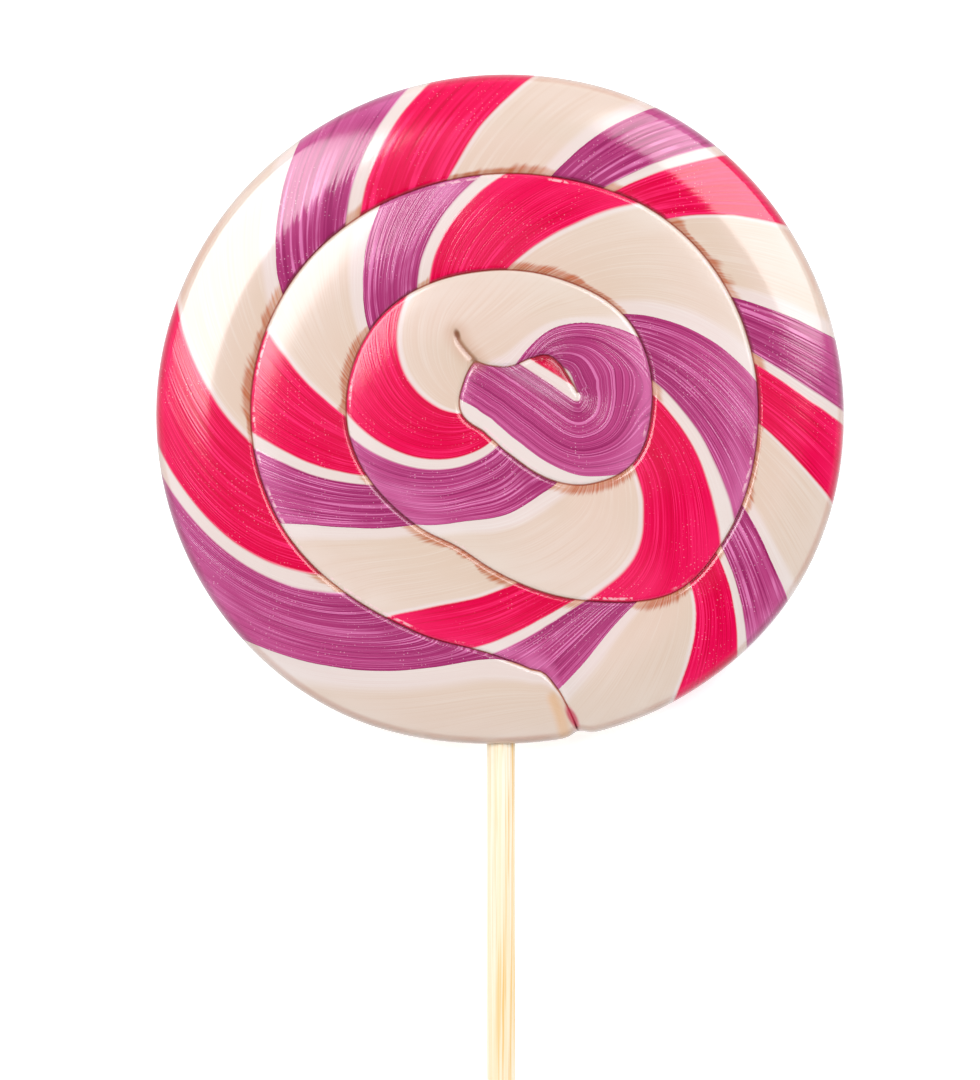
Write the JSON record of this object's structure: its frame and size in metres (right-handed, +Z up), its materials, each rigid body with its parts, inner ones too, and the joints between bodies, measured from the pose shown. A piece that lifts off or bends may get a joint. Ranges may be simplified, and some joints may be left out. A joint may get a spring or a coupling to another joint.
{
  "type": "swirl lollipop",
  "caption": "Flat swirl lollipop: a striped rope of pulled sugar coiled into a disc and pressed onto a round wooden stick.",
  "frame": {"origin": "centre of the candy's flat back, on the surface it lies on", "axes": "+Z up through the candy's thickness to its face, -Y along the stick from the candy to the stick's free end, +X to the right as the face is seen from above with the stick pointing down"},
  "size_m": [0.0853, 0.197, 0.009],
  "materials": {
    "candy": "satin pulled sugar, striped cream, white, purple and red along the twisted rope",
    "stick_wood": "plain pale wood with lengthwise fibres"
  },
  "bodies": {
    "root": {"candy_swirl": "candy", "stick": "stick_wood"}
  },
  "joints": []
}
